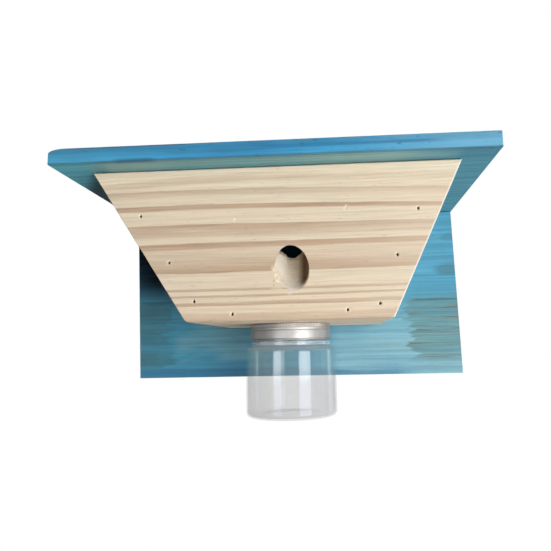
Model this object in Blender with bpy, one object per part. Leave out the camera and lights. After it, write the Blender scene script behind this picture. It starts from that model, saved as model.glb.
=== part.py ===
"""A wall-hung trap for carpenter bees.

A stained roof board and back board carry a pine box whose sides slant in towards its foot.
Bees climb into the box through holes that rise inwards, look for a way out towards the light,
and drop through the hole in the bottom panel into a clear jar, which screws into a metal lid
fixed under the box.

Metres. X runs to the right for someone facing the front, Y from the front towards the wall, and
Z up. The origin is the centre of the back board's rear face, which lies on the wall.
"""

import math

import bmesh
import bpy
from mathutils import Matrix, Vector

# Clearances and edges
GAP = 0.0003                    # between two pieces that touch
ARRIS = 0.0004                  # bevel along sawn edges
REACH = 0.005                   # how far a cutter runs past the face it opens

# Roof and back board; neither is cut quite square
BOARD_THICKNESS = 0.012
ROOF_LEFT = -0.1602             # X of the roof's ends at the front
ROOF_RIGHT = 0.1603
ROOF_LEFT_FLARE = 0.0014        # the left end lies this much further out at the rear
ROOF_DEPTH = 0.200
ROOF_UNDERSIDE = 0.080
BACK_FOOT_CORNERS = ((-0.1574, -0.0802), (0.1615, -0.0812))
BACK_TOP_LEFT = -0.1632
BACK_TOP_RIGHT = 0.1590
ROOF_CORNER_RUN = 0.012         # the roof's upper left edge is sanded round
ROOF_CORNER_DROP = 0.0035

# Box under the roof
FRONT_FACE = -0.1785            # Y of the front panel's outer face
FRONT_THICKNESS = 0.028
SIDE_THICKNESS = 0.018
BOTTOM_THICKNESS = 0.012
BOX_FOOT = -0.0325              # Z of the underside
FRONT_FOOT = -0.0331            # the front panel ends a little lower
FRONT_LEFT_SHORT = 0.0011       # and this far short of the left side panel's face
BOX_TOP_LEFT = -0.1375          # X of the slanted faces at the roof
BOX_TOP_RIGHT = 0.1367
BOX_FOOT_LEFT = -0.0663         # X of the slanted faces at the underside
BOX_FOOT_RIGHT = 0.0834
BOX_REAR = -BOARD_THICKNESS - GAP
BOX_INSIDE_FRONT = FRONT_FACE + FRONT_THICKNESS + GAP

# Entrances: drilled holes that rise towards the inside
ENTRANCE_RADIUS = 0.0115
ENTRANCE_X = 0.0118
ENTRANCE_Z = 0.0040
ENTRANCE_RISE = math.radians(42)
ENTRANCE_LEAN = math.radians(8)     # the front one was drilled a little to the left
SIDE_ENTRANCE_Y = -0.088
SIDE_ENTRANCE_Z = 0.022
ENTRANCE_STEPS = 32

# Finishing nails
NAIL_RADIUS = 0.0008
NAIL_HEAD_RADIUS = 0.0012
NAIL_HEAD_HEIGHT = 0.0012
NAIL_SET = 0.0010               # depth of the head below the wood
NAIL_POINT = 0.0025
NAIL_STEPS = 8
FRONT_NAIL_LENGTH = 0.050
ROOF_NAIL_LENGTH = 0.038
UNDERSIDE_NAIL_LENGTH = 0.038
LEFT_FRONT_NAILS = ((-0.0994, 0.0454), (-0.0774, 0.0101), (-0.0588, -0.0183))
RIGHT_FRONT_NAILS = ((0.1031, 0.0442), (0.0869, 0.0111), (0.0733, -0.0230))
BOTTOM_FRONT_NAILS = ((-0.0312, -0.0281), (0.0504, -0.0269))
UNDERSIDE_NAIL_INSET = 0.0160   # from the slanted face, along the underside
UNDERSIDE_NAIL_YS = (-0.1225, -0.0545)
ROOF_NAIL_INSET = 0.0180        # from the slanted face, along the roof
ROOF_SIDE_NAIL_YS = (-0.130, -0.082, -0.034)
ROOF_FRONT_NAIL_XS = (-0.080, 0.0, 0.080)
ROOF_REAR_NAIL_XS = (-0.140, 0.0, 0.140)
REAR_BOTTOM_NAIL_XS = (-0.030, 0.045)

# Countersunk wood screws
SCREW_STEPS = 12
BACK_SCREW = {"radius": 0.0020, "head_radius": 0.0038, "length": 0.040}
BACK_SCREW_ZS = (0.045, 0.005)
PLATE_SCREW = {"radius": 0.0014, "head_radius": 0.0027, "length": 0.010}
RECESS_WIDTH = 0.16             # cross recess, as shares of the screw's head radius
RECESS_REACH = 0.62
RECESS_DEPTH = 0.0011

# Keyhole hanger plates
PLATE_XS = {"left_hanger_plate": -0.060, "right_hanger_plate": 0.060}
PLATE_Z = 0.052
PLATE_WIDTH = 0.040
PLATE_HEIGHT = 0.024
PLATE_THICKNESS = 0.0012
PLATE_CORNER = 0.003
KEYHOLE_RADIUS = 0.0045
KEYHOLE_DROP = 0.0040           # the wide end below the plate's centre
SLOT_RADIUS = 0.0024
SLOT_RISE = 0.0055              # the narrow end above the plate's centre
POCKET_DEPTH = 0.0075           # room in the wood for the wall screw's head
POCKET_MARGIN = 0.0008
PLATE_SCREW_OFFSET = 0.0140

# Jar and lid, all turned about one upright axis; heights count down from the underside
JAR_X = 0.001
JAR_Y = -0.082
JAR_STEPS = 40
WOOD_HOLE_RADIUS = 0.021
LID_HOLE_RADIUS = 0.020
LID_RADIUS = 0.0345
LID_RIM_RADIUS = 0.0343
LID_SHEET = 0.0006
LID_DEPTH = 0.0140
LID_SCREW_CIRCLE = 0.0250
LID_SCREW_RADIUS = 0.0014
LID_SCREW_HEAD_RADIUS = 0.0027
LID_SCREW_HEAD_HEIGHT = 0.0016
LID_SCREW_LENGTH = 0.0095
LID_SCREW_COUNT = 3
LID_SCREW_START = math.radians(30)
SEAL_TOP = LID_SHEET + 2 * GAP
SEAL_THICKNESS = 0.0010
SEAL_INNER_RADIUS = 0.0286
SEAL_OUTER_RADIUS = 0.0316
NECK_RADIUS = 0.0312
NECK_INNER_RADIUS = 0.0290
JAR_RIM = SEAL_TOP + SEAL_THICKNESS + GAP
JAR_RADIUS = 0.0386
JAR_WALL = 0.0013
JAR_DEPTH = 0.0774
NECK_RING_RADIUS = 0.0338
NECK_RING_TOP = LID_DEPTH + 0.0010
NECK_RING_FOOT = 0.0180
SHOULDER_RADIUS = 0.0050
FOOT_RADIUS = 0.0045
BASE_RISE = 0.0022              # the base is pushed up in the middle
FOOT_RING_RADIUS = 0.0310
ARC_STEPS = 4

# Screw thread, right-handed
PITCH = 0.0042
THREAD_TURNS = 1.25
THREAD_ROOT = 0.0020            # width of a ridge at its foot
THREAD_CREST = 0.0010
THREAD_BURY = 0.0003            # how far a ridge's foot reaches into its wall
THREAD_FADE = math.radians(30)  # a ridge rises over this much of a turn at each end
JAR_THREAD_FOOT = 0.0092
JAR_THREAD_CREST_RADIUS = 0.0329
LID_THREAD_CREST_RADIUS = 0.0323
THREAD_OFFSET = 0.00155         # the lid's ridge lies this far below the jar's


# ---------------------------------------------------------------- tools

UPRIGHT = Matrix(((1, 0, 0, 0), (0, 0, 1, 0), (0, 1, 0, 0), (0, 0, 0, 1)))  # outline in XZ


def clear_scene():
    for item in list(bpy.data.objects):
        bpy.data.objects.remove(item, do_unlink=True)


def make_material(name, colour, roughness, metallic=0.0, alpha=1.0):
    material = bpy.data.materials.new(name)
    material.use_nodes = True
    shader = material.node_tree.nodes["Principled BSDF"]
    shader.inputs["Base Color"].default_value = (*colour, 1.0)
    shader.inputs["Roughness"].default_value = roughness
    shader.inputs["Metallic"].default_value = metallic
    shader.inputs["Alpha"].default_value = alpha
    return material


def new_object(name, bm, material=None, location=(0.0, 0.0, 0.0)):
    """Turn a bmesh into a named object whose faces point out."""
    bmesh.ops.recalc_face_normals(bm, faces=bm.faces)
    mesh = bpy.data.meshes.new(name)
    bm.to_mesh(mesh)
    bm.free()
    item = bpy.data.objects.new(name, mesh)
    item.location = location
    bpy.context.scene.collection.objects.link(item)
    if material is not None:
        mesh.materials.append(material)
    return item


def new_set(name, bm, places, material):
    """One object at each place, numbered from 1; they all share a mesh."""
    items = [new_object(f"{name}_1", bm, material)]
    round_off(items[0])
    for number in range(2, len(places) + 1):
        item = bpy.data.objects.new(f"{name}_{number}", items[0].data)
        bpy.context.scene.collection.objects.link(item)
        items.append(item)
    for item, place in zip(items, places):
        item.matrix_world = place
    return items


def new_cutter(name, bm, location=(0.0, 0.0, 0.0)):
    item = new_object(name, bm, location=location)
    item.hide_render = True
    item.display_type = "WIRE"
    return item


def round_off(item, angle=math.radians(35)):
    item.data.shade_smooth()
    item.data.set_sharp_from_angle(angle=angle)


def break_edges(item, width=ARRIS):
    modifier = item.modifiers.new("arris", "BEVEL")
    modifier.width = width
    modifier.segments = 1
    modifier.limit_method = "ANGLE"


def boolean(item, other, operation="DIFFERENCE"):
    modifier = item.modifiers.new(other.name, "BOOLEAN")
    modifier.operation = operation
    modifier.solver = "EXACT"
    modifier.object = other


def arc(centre, radius, start, end, steps):
    """Points along an arc between two angles in degrees, both ends included."""
    points = []
    for step in range(steps + 1):
        angle = math.radians(start + (end - start) * step / steps)
        points.append((centre[0] + radius * math.cos(angle), centre[1] + radius * math.sin(angle)))
    return points


def prism(outline, low, high, place=UPRIGHT):
    """A prism with its outline in local XY, running from low to high along local Z."""
    bm = bmesh.new()
    face = bm.faces.new([bm.verts.new((x, y, low)) for x, y in outline])
    extruded = bmesh.ops.extrude_face_region(bm, geom=[face])["geom"]
    lifted = [part for part in extruded if isinstance(part, bmesh.types.BMVert)]
    bmesh.ops.translate(bm, vec=(0.0, 0.0, high - low), verts=lifted)
    bmesh.ops.transform(bm, matrix=place, verts=bm.verts)
    return bm


def turned(profile, steps, closed=False):
    """Spin a profile of (radius, height) points about local Z."""
    bm = bmesh.new()
    verts = [bm.verts.new((radius, 0.0, height)) for radius, height in profile]
    pairs = list(zip(verts, verts[1:]))
    if closed:
        pairs.append((verts[-1], verts[0]))
    edges = [bm.edges.new(pair) for pair in pairs]
    bmesh.ops.spin(bm, geom=verts + edges, cent=(0, 0, 0), axis=(0, 0, 1), angle=math.tau,
                   steps=steps, use_merge=True)
    bmesh.ops.remove_doubles(bm, verts=bm.verts, dist=1e-6)
    return bm


def copies(piece, places):
    """A copy of a piece at each place, all in one bmesh."""
    mesh = bpy.data.meshes.new("pattern")
    piece.to_mesh(mesh)
    piece.free()
    bm = bmesh.new()
    for place in places:
        placed = mesh.copy()
        placed.transform(place)
        bm.from_mesh(placed)
        bpy.data.meshes.remove(placed)
    bpy.data.meshes.remove(mesh)
    return bm


def facing(point, outward):
    """The placement whose origin is a point and whose local Z points outward."""
    turn = Vector(outward).to_track_quat("Z", "Y").to_matrix().to_4x4()
    return Matrix.Translation(Vector(point)) @ turn


# ---------------------------------------------------------------- the slanted sides

class Side:
    """One slanted side of the box: where its faces lie at each height."""

    def __init__(self, name, foot, top, inward):
        self.name = name
        self.foot = foot
        self.inward = inward
        self.slope = (top - foot) / (ROOF_UNDERSIDE - BOX_FOOT)
        self.lean = math.atan(self.slope)
        self.run = SIDE_THICKNESS / math.cos(self.lean)

    def outer(self, z):
        return self.foot + (z - BOX_FOOT) * self.slope

    def inner(self, z):
        return self.outer(z) + self.inward * self.run

    def middle(self, z):
        return (self.outer(z) + self.inner(z)) / 2

    def normal_in(self):
        return Vector((self.inward * math.cos(self.lean), 0.0,
                       -self.inward * math.sin(self.lean)))

    def down(self):
        return Vector((-math.sin(self.lean), 0.0, -math.cos(self.lean)))


LEFT = Side("left", BOX_FOOT_LEFT, BOX_TOP_LEFT, 1)
RIGHT = Side("right", BOX_FOOT_RIGHT, BOX_TOP_RIGHT, -1)


# ---------------------------------------------------------------- boards

def make_roof(stain):
    """The roof board: sharp edges, but for the upper left one."""
    top = ROOF_UNDERSIDE + BOARD_THICKNESS
    outline = [(ROOF_LEFT, ROOF_UNDERSIDE), (ROOF_RIGHT, ROOF_UNDERSIDE), (ROOF_RIGHT, top)]
    for x, z in arc((0.0, 0.0), 1.0, 90, 180, ARC_STEPS + 1):
        outline.append((ROOF_LEFT + ROOF_CORNER_RUN * (1 + x), top - ROOF_CORNER_DROP * (1 - z)))
    bm = prism(outline, -ROOF_DEPTH, 0.0)
    for vert in bm.verts:
        if vert.co.x < 0:
            vert.co.x -= ROOF_LEFT_FLARE * (vert.co.y + ROOF_DEPTH) / ROOF_DEPTH
    roof = new_object("roof_board", bm, stain)
    break_edges(roof)
    return roof


def make_back_board(stain):
    top = ROOF_UNDERSIDE - GAP
    outline = [*BACK_FOOT_CORNERS, (BACK_TOP_RIGHT, top), (BACK_TOP_LEFT, top)]
    board = new_object("back_board", prism(outline, -BOARD_THICKNESS, 0.0), stain)
    break_edges(board)
    return board


def make_front_panel(pine):
    top = ROOF_UNDERSIDE - GAP
    outline = [(LEFT.outer(FRONT_FOOT) + FRONT_LEFT_SHORT, FRONT_FOOT),
               (RIGHT.outer(FRONT_FOOT), FRONT_FOOT), (RIGHT.outer(top), top),
               (LEFT.outer(top) + FRONT_LEFT_SHORT, top)]
    panel = new_object("front_panel",
                       prism(outline, FRONT_FACE, FRONT_FACE + FRONT_THICKNESS), pine)
    break_edges(panel)
    level = Vector((-math.sin(ENTRANCE_LEAN), math.cos(ENTRANCE_LEAN), 0.0))
    inwards = level * math.cos(ENTRANCE_RISE) + Vector((0, 0, math.sin(ENTRANCE_RISE)))
    place = facing((ENTRANCE_X, FRONT_FACE, ENTRANCE_Z), inwards)
    boolean(panel, entrance_cutter("front_entrance_cutter", place, FRONT_THICKNESS))
    return panel


def make_side_panel(side, pine):
    low = BOX_FOOT + BOTTOM_THICKNESS + GAP
    top = ROOF_UNDERSIDE - GAP
    outline = [(side.outer(low), low), (side.inner(low), low),
               (side.inner(top), top), (side.outer(top), top)]
    panel = new_object(f"{side.name}_side_panel",
                       prism(outline, BOX_INSIDE_FRONT, BOX_REAR), pine)
    break_edges(panel)
    mouth = (side.outer(SIDE_ENTRANCE_Z), SIDE_ENTRANCE_Y, SIDE_ENTRANCE_Z)
    place = facing(mouth, side.normal_in())
    boolean(panel, entrance_cutter(f"{side.name}_entrance_cutter", place, SIDE_THICKNESS))
    return panel


def make_bottom_panel(pine):
    top = BOX_FOOT + BOTTOM_THICKNESS
    outline = [(LEFT.outer(BOX_FOOT), BOX_FOOT), (RIGHT.outer(BOX_FOOT), BOX_FOOT),
               (RIGHT.outer(top), top), (LEFT.outer(top), top)]
    panel = new_object("bottom_panel", prism(outline, BOX_INSIDE_FRONT, BOX_REAR), pine)
    break_edges(panel)
    hole = [(0.0, -REACH), (WOOD_HOLE_RADIUS, -REACH),
            (WOOD_HOLE_RADIUS, BOTTOM_THICKNESS + REACH), (0.0, BOTTOM_THICKNESS + REACH)]
    boolean(panel, new_cutter("drop_hole_cutter", turned(hole, JAR_STEPS), JAR_ORIGIN))
    return panel


def entrance_cutter(name, place, thickness):
    """A drill that starts outside the wood and comes out inside it."""
    start = -2 * ENTRANCE_RADIUS
    end = 2 * thickness + 2 * ENTRANCE_RADIUS
    drill = [(0.0, start), (ENTRANCE_RADIUS, start), (ENTRANCE_RADIUS, end), (0.0, end)]
    return new_cutter(name, copies(turned(drill, ENTRANCE_STEPS), [place]))


# ---------------------------------------------------------------- nails and screws

def nail_profile(length):
    neck = -NAIL_SET - NAIL_HEAD_HEIGHT
    tip = -NAIL_SET - length
    return [(0.0, -NAIL_SET), (NAIL_HEAD_RADIUS, -NAIL_SET), (NAIL_HEAD_RADIUS, neck),
            (NAIL_RADIUS, neck), (NAIL_RADIUS, tip + NAIL_POINT), (0.0, tip)]


def nail_hole_profile(length):
    head = NAIL_HEAD_RADIUS + GAP
    neck = -NAIL_SET - NAIL_HEAD_HEIGHT - GAP
    shank = NAIL_RADIUS + GAP
    tip = -NAIL_SET - length - GAP
    return [(0.0, REACH), (head, REACH), (head, neck), (shank, neck),
            (shank, tip + NAIL_POINT), (0.0, tip - GAP)]


def drive_nails(name, places, length, boards, steel):
    """Nails, and their holes in every board that they pass through."""
    new_set(name, turned(nail_profile(length), NAIL_STEPS), places, steel)
    holes = copies(turned(nail_hole_profile(length), NAIL_STEPS), places)
    cutter = new_cutter(f"{name}_cutter", holes)
    for board in boards:
        boolean(board, cutter)


def screw_profile(radius, head_radius, length):
    """A countersunk screw, its head just below the surface."""
    neck = -GAP - (head_radius - radius)
    return [(0.0, -GAP), (head_radius, -GAP), (radius, neck), (radius, 2 * radius - length),
            (0.0, -length)]


def screw_hole_profile(radius, head_radius, length):
    head = head_radius + GAP
    shank = radius + GAP
    return [(0.0, REACH), (head, REACH), (head, -GAP), (shank, -GAP - (head - shank)),
            (shank, 2 * radius - length), (0.0, -length - 2 * GAP)]


def recess_cutter(name, places, head_radius, surface):
    """A cross recess in each screw's head; surface is the head's height in its own frame."""
    arm = head_radius * RECESS_REACH
    half = head_radius * RECESS_WIDTH
    corner = [(arm, -half), (arm, half), (half, half)]
    outline = []
    for quarter in range(4):
        turn = Matrix.Rotation(quarter * math.pi / 2, 2)
        outline += [tuple(turn @ Vector(point)) for point in corner]
    cross = prism(outline, surface - RECESS_DEPTH, surface + RECESS_DEPTH, Matrix())
    return new_cutter(name, copies(cross, places))


def drive_screws(name, places, sizes, boards, steel):
    """Countersunk screws, and their holes in every piece that they pass through."""
    screws = new_set(name, turned(screw_profile(**sizes), SCREW_STEPS), places, steel)
    recesses = recess_cutter(f"{name}_recesses", places, sizes["head_radius"], -GAP)
    for screw in screws:
        boolean(screw, recesses)
    holes = copies(turned(screw_hole_profile(**sizes), SCREW_STEPS), places)
    cutter = new_cutter(f"{name}_cutter", holes)
    for board in boards:
        boolean(board, cutter)


def nail_front_panel(front, left, right, bottom, steel):
    groups = (("left_front_nail", LEFT_FRONT_NAILS, (front, left)),
              ("right_front_nail", RIGHT_FRONT_NAILS, (front, right, bottom)),
              ("bottom_front_nail", BOTTOM_FRONT_NAILS, (front, bottom)))
    for name, points, boards in groups:
        places = [facing((x, FRONT_FACE, z), (0, -1, 0)) for x, z in points]
        drive_nails(name, places, FRONT_NAIL_LENGTH, boards, steel)


def nail_underside(left, right, bottom, steel):
    """Nails driven up through the bottom panel, along the slope of the side panels."""
    places = []
    for side in (LEFT, RIGHT):
        x = side.outer(BOX_FOOT) + side.inward * UNDERSIDE_NAIL_INSET
        for y in UNDERSIDE_NAIL_YS:
            places.append(facing((x, y, BOX_FOOT), side.down()))
    drive_nails("underside_nail", places, UNDERSIDE_NAIL_LENGTH, (bottom, left, right), steel)


def nail_roof(roof, left, right, front, back, steel):
    top = ROOF_UNDERSIDE + BOARD_THICKNESS
    up = (0, 0, 1)
    over_sides = []
    for side in (LEFT, RIGHT):
        x = side.outer(ROOF_UNDERSIDE) + side.inward * ROOF_NAIL_INSET
        over_sides += [facing((x, y, top), up) for y in ROOF_SIDE_NAIL_YS]
    drive_nails("roof_side_nail", over_sides, ROOF_NAIL_LENGTH, (roof, left, right), steel)
    y = FRONT_FACE + FRONT_THICKNESS / 2
    over_front = [facing((x, y, top), up) for x in ROOF_FRONT_NAIL_XS]
    drive_nails("roof_front_nail", over_front, ROOF_NAIL_LENGTH, (roof, front), steel)
    y = -BOARD_THICKNESS / 2
    over_back = [facing((x, y, top), up) for x in ROOF_REAR_NAIL_XS]
    drive_nails("roof_rear_nail", over_back, ROOF_NAIL_LENGTH, (roof, back), steel)


def fix_back_board(back, left, right, bottom, steel):
    rear = (0, 1, 0)
    places = []
    for side in (LEFT, RIGHT):
        places += [facing((side.middle(z), 0.0, z), rear) for z in BACK_SCREW_ZS]
    drive_screws("back_board_screw", places, BACK_SCREW, (back, left, right), steel)
    z = BOX_FOOT + BOTTOM_THICKNESS / 2
    places = [facing((x, 0.0, z), rear) for x in REAR_BOTTOM_NAIL_XS]
    drive_nails("rear_bottom_nail", places, ROOF_NAIL_LENGTH, (back, bottom), steel)


# ---------------------------------------------------------------- hanger plates

def rounded_rectangle(width, height, radius):
    x = width / 2 - radius
    z = height / 2 - radius
    outline = []
    for centre, start in (((x, z), 0), ((-x, z), 90), ((-x, -z), 180), ((x, -z), 270)):
        outline += arc(centre, radius, start, start + 90, 3)
    return outline


def keyhole():
    """A round opening with a narrow slot that rises from it."""
    meet = math.degrees(math.asin(SLOT_RADIUS / KEYHOLE_RADIUS))
    wide = arc((0.0, -KEYHOLE_DROP), KEYHOLE_RADIUS, 90 + meet, 450 - meet, 14)
    narrow = arc((0.0, SLOT_RISE), SLOT_RADIUS, 0, 180, 6)
    return wide + narrow


def pocket():
    """Room behind a keyhole for a screw's head on its way up."""
    radius = KEYHOLE_RADIUS + POCKET_MARGIN
    return (arc((0.0, -KEYHOLE_DROP), radius, 180, 360, 8)
            + arc((0.0, SLOT_RISE), radius, 0, 180, 8))


def make_hanger_plates(back, zinc, steel):
    """Two keyhole plates let into the rear of the back board, flush with it."""
    screw_places = []
    for name, x in PLATE_XS.items():
        location = (x, 0.0, PLATE_Z)
        outline = rounded_rectangle(PLATE_WIDTH, PLATE_HEIGHT, PLATE_CORNER)
        plate = new_object(name, prism(outline, -GAP - PLATE_THICKNESS, -GAP), zinc, location)
        boolean(plate, new_cutter(f"{name}_keyhole", prism(keyhole(), -REACH, REACH), location))
        seat = rounded_rectangle(PLATE_WIDTH + 2 * GAP, PLATE_HEIGHT + 2 * GAP, PLATE_CORNER)
        seat_cutter = prism(seat, -2 * GAP - PLATE_THICKNESS, REACH)
        boolean(back, new_cutter(f"{name}_seat", seat_cutter, location))
        pocket_cutter = prism(pocket(), -POCKET_DEPTH, REACH)
        boolean(back, new_cutter(f"{name}_pocket", pocket_cutter, location))
        places = [facing((x + offset, -GAP, PLATE_Z), (0, 1, 0))
                  for offset in (-PLATE_SCREW_OFFSET, PLATE_SCREW_OFFSET)]
        holes = copies(turned(screw_hole_profile(**PLATE_SCREW), SCREW_STEPS), places)
        boolean(plate, new_cutter(f"{name}_screw_holes", holes))
        screw_places += places
    drive_screws("hanger_plate_screw", screw_places, PLATE_SCREW, (back,), steel)


# ---------------------------------------------------------------- lid, seal and jar

JAR_ORIGIN = (JAR_X, JAR_Y, BOX_FOOT)


def thread_ridge(wall_radius, crest_radius, foot_depth):
    """A right-handed helical ridge, to be joined to the wall that it stands on."""
    outward = 1 if crest_radius > wall_radius else -1
    root_radius = wall_radius - outward * THREAD_BURY
    steps = round(THREAD_TURNS * JAR_STEPS)
    bm = bmesh.new()
    rings = []
    for step in range(steps + 1):
        angle = math.tau * step / JAR_STEPS
        from_end = min(step, steps - step) * math.tau / JAR_STEPS
        fade = min(1.0, 0.1 + from_end / THREAD_FADE)
        crest = root_radius + (crest_radius - root_radius) * fade
        middle = PITCH * angle / math.tau - foot_depth
        section = ((root_radius, -THREAD_ROOT / 2), (crest, -THREAD_CREST / 2),
                   (crest, THREAD_CREST / 2), (root_radius, THREAD_ROOT / 2))
        rings.append([bm.verts.new((radius * math.cos(angle), radius * math.sin(angle),
                                    middle + height)) for radius, height in section])
    for ring, following in zip(rings, rings[1:]):
        for index in range(4):
            other = (index + 1) % 4
            bm.faces.new((ring[index], ring[other], following[other], following[index]))
    bm.faces.new(rings[0])
    bm.faces.new(reversed(rings[-1]))
    return bm


def lid_profile():
    """The lid's sheet, turned: a flat top with a hole, a rim, a skirt and a rolled edge."""
    top = -GAP
    sheet = LID_SHEET
    return [(LID_HOLE_RADIUS, top), (LID_RIM_RADIUS - sheet, top), (LID_RIM_RADIUS, top - sheet),
            (LID_RIM_RADIUS, -0.0032), (LID_RADIUS, -0.0036),
            (LID_RADIUS, sheet * 2 - LID_DEPTH), (LID_RADIUS + GAP, sheet - LID_DEPTH),
            (LID_RADIUS, -LID_DEPTH), (LID_RADIUS - 1.5 * sheet, -LID_DEPTH),
            (LID_RADIUS - 1.5 * sheet, sheet - LID_DEPTH), (LID_RADIUS - sheet, 2 * sheet - LID_DEPTH),
            (LID_RADIUS - sheet, -0.0040), (LID_RIM_RADIUS - sheet, -0.0036),
            (LID_RIM_RADIUS - sheet, top - sheet), (LID_HOLE_RADIUS, top - sheet)]


def make_lid(bottom, aluminium, steel):
    lid = new_object("jar_lid", turned(lid_profile(), JAR_STEPS, closed=True), aluminium,
                     JAR_ORIGIN)
    round_off(lid)
    ridge = thread_ridge(LID_RADIUS - LID_SHEET, LID_THREAD_CREST_RADIUS,
                         JAR_THREAD_FOOT + THREAD_OFFSET)
    boolean(lid, new_cutter("lid_thread_ridge", ridge, JAR_ORIGIN), "UNION")
    under_sheet = BOX_FOOT - GAP - LID_SHEET
    places = []
    for index in range(LID_SCREW_COUNT):
        angle = LID_SCREW_START + math.tau * index / LID_SCREW_COUNT
        x = JAR_X + LID_SCREW_CIRCLE * math.cos(angle)
        y = JAR_Y + LID_SCREW_CIRCLE * math.sin(angle)
        places.append(facing((x, y, under_sheet), (0, 0, -1)))
    shank = LID_SCREW_RADIUS
    top = GAP + LID_SCREW_HEAD_HEIGHT
    profile = [(0.0, top), (LID_SCREW_HEAD_RADIUS * 0.7, top), (LID_SCREW_HEAD_RADIUS, top / 2),
               (LID_SCREW_HEAD_RADIUS, GAP), (shank, GAP), (shank, 2 * shank - LID_SCREW_LENGTH),
               (0.0, -LID_SCREW_LENGTH)]
    screws = new_set("lid_screw", turned(profile, SCREW_STEPS), places, steel)
    recesses = recess_cutter("lid_screw_recesses", places, LID_SCREW_HEAD_RADIUS, top)
    for screw in screws:
        boolean(screw, recesses)
    hole = [(0.0, REACH), (shank + GAP, REACH), (shank + GAP, 2 * shank - LID_SCREW_LENGTH),
            (0.0, -LID_SCREW_LENGTH - 2 * GAP)]
    cutter = new_cutter("lid_screw_holes", copies(turned(hole, SCREW_STEPS), places))
    boolean(lid, cutter)
    boolean(bottom, cutter)


def make_seal(foam):
    foot = -SEAL_TOP - SEAL_THICKNESS
    profile = [(SEAL_INNER_RADIUS, -SEAL_TOP), (SEAL_OUTER_RADIUS, -SEAL_TOP),
               (SEAL_OUTER_RADIUS, foot), (SEAL_INNER_RADIUS, foot)]
    seal = new_object("seal_ring", turned(profile, JAR_STEPS, closed=True), foam, JAR_ORIGIN)
    round_off(seal)


def jar_profile():
    """The jar's outside from the middle of its base to its rim, then its inside back down."""
    lip = 0.0005
    foot_centre = (JAR_RADIUS - FOOT_RADIUS, FOOT_RADIUS - JAR_DEPTH)
    shoulder_centre = (JAR_RADIUS - SHOULDER_RADIUS, -NECK_RING_FOOT - 2 * lip - SHOULDER_RADIUS)
    base = BASE_RISE - JAR_DEPTH
    outside = [(0.0, base), (FOOT_RING_RADIUS * 0.8, base - BASE_RISE * 0.3),
               (FOOT_RING_RADIUS, -JAR_DEPTH)]
    outside += arc(foot_centre, FOOT_RADIUS, 270, 360, ARC_STEPS)
    outside += arc(shoulder_centre, SHOULDER_RADIUS, 0, 90, ARC_STEPS)
    neck = [(shoulder_centre[0], -NECK_RING_FOOT - lip), (NECK_RING_RADIUS, -NECK_RING_FOOT),
            (NECK_RING_RADIUS, -NECK_RING_TOP - lip), (NECK_RING_RADIUS - lip, -NECK_RING_TOP),
            (NECK_RADIUS, -NECK_RING_TOP), (NECK_RADIUS, -JAR_RIM - lip),
            (NECK_RADIUS - lip, -JAR_RIM), (NECK_INNER_RADIUS + lip, -JAR_RIM),
            (NECK_INNER_RADIUS, -JAR_RIM - lip), (NECK_INNER_RADIUS, -NECK_RING_FOOT - lip)]
    inside = arc(shoulder_centre, SHOULDER_RADIUS - JAR_WALL, 90, 0, ARC_STEPS)
    inside += arc(foot_centre, FOOT_RADIUS - JAR_WALL, 360, 270, ARC_STEPS)
    inside += [(FOOT_RING_RADIUS, JAR_WALL - JAR_DEPTH),
               (FOOT_RING_RADIUS * 0.8, base + JAR_WALL - BASE_RISE * 0.3), (0.0, base + JAR_WALL)]
    return outside + neck + inside


def make_jar(plastic):
    jar = new_object("jar", turned(jar_profile(), JAR_STEPS), plastic, JAR_ORIGIN)
    round_off(jar)
    ridge = thread_ridge(NECK_RADIUS, JAR_THREAD_CREST_RADIUS, JAR_THREAD_FOOT)
    boolean(jar, new_cutter("jar_thread_ridge", ridge, JAR_ORIGIN), "UNION")


# ---------------------------------------------------------------- assembly

def main():
    clear_scene()
    stain = make_material("blue_stain", (0.09, 0.36, 0.52), 0.6)
    pine = make_material("pine", (0.80, 0.63, 0.42), 0.65)
    steel = make_material("bright_steel", (0.55, 0.55, 0.56), 0.35, metallic=1.0)
    zinc = make_material("zinc_plate", (0.62, 0.63, 0.65), 0.4, metallic=1.0)
    aluminium = make_material("aluminium", (0.75, 0.75, 0.76), 0.3, metallic=1.0)
    foam = make_material("seal_foam", (0.88, 0.88, 0.86), 0.8)
    plastic = make_material("clear_plastic", (0.86, 0.89, 0.90), 0.05, alpha=0.3)

    roof = make_roof(stain)
    back = make_back_board(stain)
    front = make_front_panel(pine)
    left = make_side_panel(LEFT, pine)
    right = make_side_panel(RIGHT, pine)
    bottom = make_bottom_panel(pine)
    nail_front_panel(front, left, right, bottom, steel)
    nail_underside(left, right, bottom, steel)
    nail_roof(roof, left, right, front, back, steel)
    fix_back_board(back, left, right, bottom, steel)
    make_hanger_plates(back, zinc, steel)
    make_lid(bottom, aluminium, steel)
    make_seal(foam)
    make_jar(plastic)


main()
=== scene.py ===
"""The looks of a wall-hung trap for carpenter bees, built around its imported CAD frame.

Metres, in the frame's own axes: X to the right of someone facing the front, Y towards the wall,
Z up. Boards, lid and jar are remade with rounded edges, drill marks, knurling and threads.
Nails, screws, hanger plates and the seal keep their CAD shapes.
"""

import math

import bmesh
import bpy
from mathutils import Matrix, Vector, noise
from mathutils.geometry import intersect_line_line


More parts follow.
